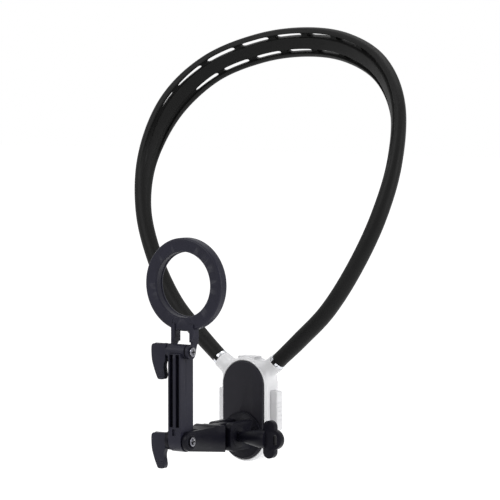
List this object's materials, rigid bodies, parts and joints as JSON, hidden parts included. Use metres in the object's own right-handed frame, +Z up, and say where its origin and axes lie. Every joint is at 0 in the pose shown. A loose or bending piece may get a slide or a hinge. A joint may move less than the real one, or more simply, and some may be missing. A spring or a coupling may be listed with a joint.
{
  "type": "neck phone holder",
  "caption": "Neck-worn phone holder: soft band, chest base with quick-release plate, swivelling folding arm with clamp levers and a magnetic ring.",
  "frame": {"origin": "where the band's inner face rests on the wearer's nape, on the plane of symmetry of band and base", "axes": "+Z up as worn, -Y the way the wearer looks, +X towards the wing screw"},
  "size_m": [0.225, 0.1689, 0.3059],
  "materials": {
    "silicone": "matt moulded silicone",
    "spring_steel": "rolled strip",
    "bright_steel": "bright plated",
    "charcoal": "fine satin moulded nylon",
    "plate_black": "fine satin moulded plastic",
    "base_white": "satin moulded plastic",
    "bush_plastic": "smooth acetal",
    "magnet": "nickel plated magnet",
    "brass": "turned brass",
    "pad": "thin silicone"
  },
  "bodies": {
    "base": {"neck_sleeve": "silicone", "neck_core": "spring_steel", "end_plug_left": "silicone", "end_plug_right": "silicone", "ferrule_left": "bright_steel", "ferrule_right": "bright_steel", "base_front_shell": "base_white", "base_back_cover": "base_white", "base_screws": "bright_steel", "base_magnets": "magnet", "button_springs_left": "spring_steel", "button_springs_right": "spring_steel"},
    "left_button": {"button_left": "base_white", "latch_clip_left": "spring_steel"},
    "right_button": {"button_right": "base_white", "latch_clip_right": "spring_steel"},
    "plate": {"plate_shell": "plate_black", "plate_steel": "spring_steel", "swivel_bush": "bush_plastic"},
    "swivel": {"swivel_clevis": "charcoal", "swivel_washer": "bright_steel", "swivel_screw": "bright_steel", "clevis_nut": "bright_steel"},
    "wing_screw": {"wing_knob": "charcoal", "wing_bolt": "bright_steel"},
    "arm": {"lower_arm": "charcoal", "lower_hinge_screw": "bright_steel", "lower_washers": "spring_steel"},
    "lower_clamp_lever": {"lower_lever": "charcoal", "lower_lever_nut": "brass"},
    "upper_arm": {"upper_arm": "charcoal", "upper_washers": "spring_steel"},
    "ring": {"ring_frame": "charcoal", "ring_yoke": "spring_steel", "ring_magnets": "magnet", "ring_back_cover": "charcoal", "ring_pad": "pad", "upper_hinge_screw": "bright_steel"},
    "upper_clamp_lever": {"upper_lever": "charcoal", "upper_lever_nut": "brass"}
  },
  "joints": [
    {"name": "left_release", "type": "slide", "parent": "base", "child": "left_button", "axis": [1, 0, 0], "range_m": [0, 0.002], "stiffness_N_per_m": 800, "springref_m": -0.002, "deforming": ["button_springs_left"]},
    {"name": "right_release", "type": "slide", "parent": "base", "child": "right_button", "axis": [-1, 0, 0], "range_m": [0, 0.002], "stiffness_N_per_m": 800, "springref_m": -0.002, "deforming": ["button_springs_right"]},
    {"name": "plate_release", "type": "slide", "parent": "base", "child": "plate", "axis": [0, -1, 0], "range_m": [0, 0.014], "deforming": ["latch_clip_left", "latch_clip_right"]},
    {"name": "swivel_turn", "type": "hinge", "parent": "plate", "child": "swivel", "pos_m": [0, -0.0775, -0.2748], "axis": [0, 1, 0], "continuous": true},
    {"name": "wing_turn", "type": "hinge", "parent": "swivel", "child": "wing_screw", "pos_m": [0, -0.096, -0.2733], "axis": [1, 0, 0], "continuous": true},
    {"name": "arm_tilt", "type": "hinge", "parent": "swivel", "child": "arm", "pos_m": [0, -0.096, -0.2733], "axis": [1, 0, 0], "range_deg": [-20, 90]},
    {"name": "lower_lever_turn", "type": "hinge", "parent": "arm", "child": "lower_clamp_lever", "pos_m": [0, -0.151, -0.271], "axis": [1, 0, 0], "range_deg": [-90, 90]},
    {"name": "elbow", "type": "hinge", "parent": "arm", "child": "upper_arm", "pos_m": [0, -0.151, -0.271], "axis": [1, 0, 0], "range_deg": [-28, 110]},
    {"name": "ring_tilt", "type": "hinge", "parent": "upper_arm", "child": "ring", "pos_m": [0, -0.151, -0.2095], "axis": [-1, 0, 0], "range_deg": [-90, 75]},
    {"name": "upper_lever_turn", "type": "hinge", "parent": "ring", "child": "upper_clamp_lever", "pos_m": [0, -0.151, -0.2095], "axis": [1, 0, 0], "range_deg": [-90, 90]}
  ]
}
